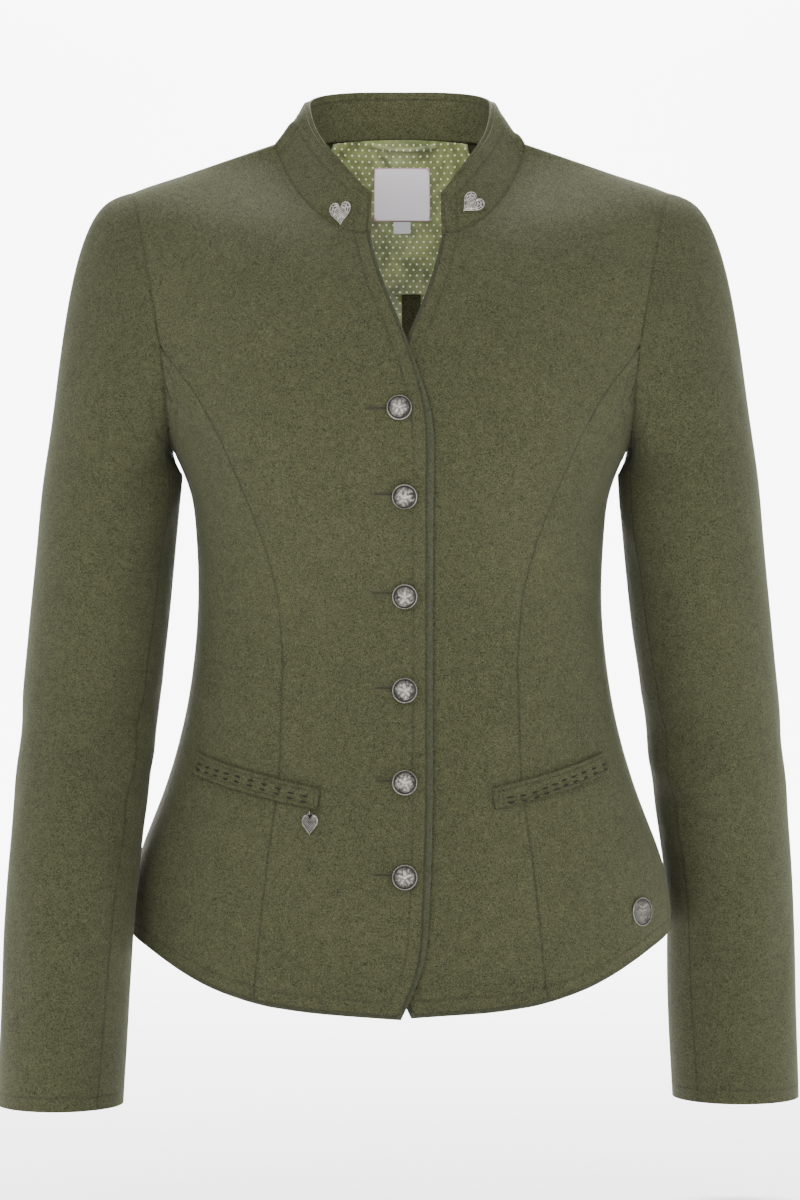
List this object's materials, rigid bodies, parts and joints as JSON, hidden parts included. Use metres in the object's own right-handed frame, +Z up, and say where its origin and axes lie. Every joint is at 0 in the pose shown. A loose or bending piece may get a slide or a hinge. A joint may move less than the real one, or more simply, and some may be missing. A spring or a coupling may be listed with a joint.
{
  "type": "trachten blazer",
  "caption": "Fitted stand-collar jacket of milled wool, filled out as worn, hollow, with open neck, hem and cuffs.",
  "frame": {"origin": "midway between the two points where the shoulder seams meet the collar, where the wearer's shoulders carry the jacket", "axes": "+Z up along the jacket, -Y out of the front, +X towards the wearer's left"},
  "size_m": [0.534, 0.24, 0.6878],
  "materials": {
    "loden": "milled olive wool, matt",
    "facing": "raw cut wool edge, matt",
    "lining": "olive-green satin with light dots",
    "label": "woven tape, bare",
    "silver": "antique silver, dark in the hollows"
  },
  "bodies": {
    "jacket": {"right_front": "loden", "right_side_front": "loden", "right_side_back": "loden", "right_back": "loden", "left_front": "loden", "left_side_front": "loden", "left_side_back": "loden", "left_back": "loden", "right_upper_sleeve": "loden", "right_under_sleeve": "loden", "left_upper_sleeve": "loden", "left_under_sleeve": "loden", "collar": "loden", "collar_facing": "facing", "right_front_facing": "facing", "left_front_facing": "facing", "right_hem_facing": "facing", "left_hem_facing": "facing", "back_hem_facing": "facing", "right_pocket_welt": "loden", "left_pocket_welt": "loden", "lining_yoke": "lining", "right_lining": "lining", "left_lining": "lining", "hanger_loop": "lining", "neck_label": "label", "size_tab": "label", "button_1": "silver", "button_2": "silver", "button_3": "silver", "button_4": "silver", "button_5": "silver", "button_6": "silver", "right_heart_stud": "silver", "left_heart_stud": "silver", "hip_badge": "silver", "charm_staple": "silver"},
    "charm": {"heart_charm": "silver"}
  },
  "joints": [
    {"name": "charm_swing", "type": "hinge", "parent": "jacket", "child": "charm", "pos_m": [-0.0575, -0.10009, -0.444], "axis": [-0.2067, -0.9682, 0.1411], "range_deg": [-50, 50]}
  ]
}
